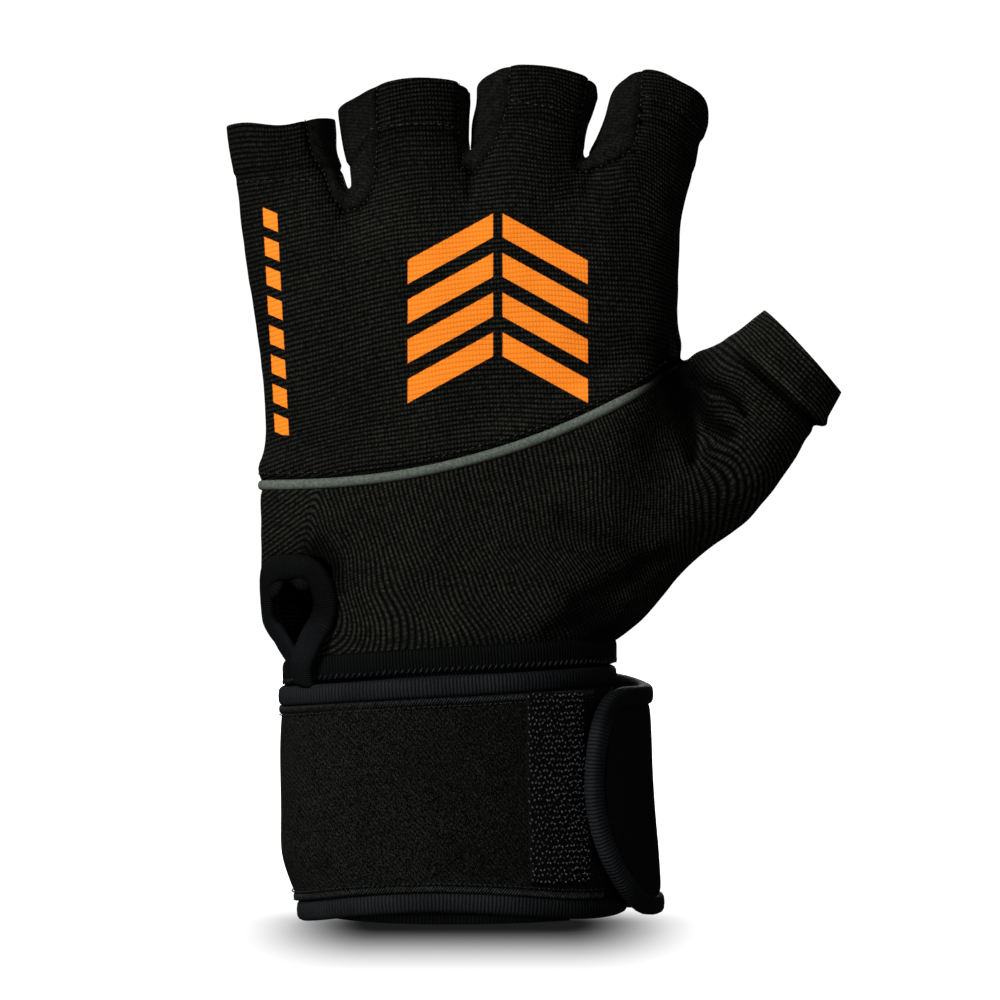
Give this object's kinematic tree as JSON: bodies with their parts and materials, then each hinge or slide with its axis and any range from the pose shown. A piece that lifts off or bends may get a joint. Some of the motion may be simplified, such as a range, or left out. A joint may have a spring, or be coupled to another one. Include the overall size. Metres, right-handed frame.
{
  "type": "open-finger fitness glove with wrist wrap",
  "caption": "Left open-finger fitness glove in its worn form: ribbed knit shell, smooth finger gussets, reflective piping, bound side slit and a wide padded wrist wrap.",
  "frame": {"origin": "middle of the wrist opening, at the height of the wrap's lower rim", "axes": "+Z from the wrist towards the fingers, -Y towards the back of the hand, +X towards the thumb"},
  "size_m": [0.1345, 0.0586, 0.1868],
  "materials": {
    "ribbed_knit": "near-black ribbed stretch knit, with an orange print of plain bars",
    "smooth_knit": "near-black fine jersey knit",
    "knit_tape": "near-black cross-ribbed knit binding tape",
    "wrap_cloth": "near-black brushed loop cloth on thin foam",
    "hook_tape": "black moulded nylon hook tape",
    "reflective_piping": "grey glass-bead reflective piping"
  },
  "bodies": {
    "root": {"upper_panel": "ribbed_knit", "lower_panel": "ribbed_knit", "palm_panel": "ribbed_knit", "gusset_little_ring": "smooth_knit", "gusset_ring_middle": "smooth_knit", "gusset_middle_index": "smooth_knit", "piping": "reflective_piping", "hem_binding": "knit_tape", "slit_binding": "knit_tape", "wrist_strap": "wrap_cloth", "strap_binding": "knit_tape", "hook_patch": "hook_tape"}
  },
  "joints": []
}
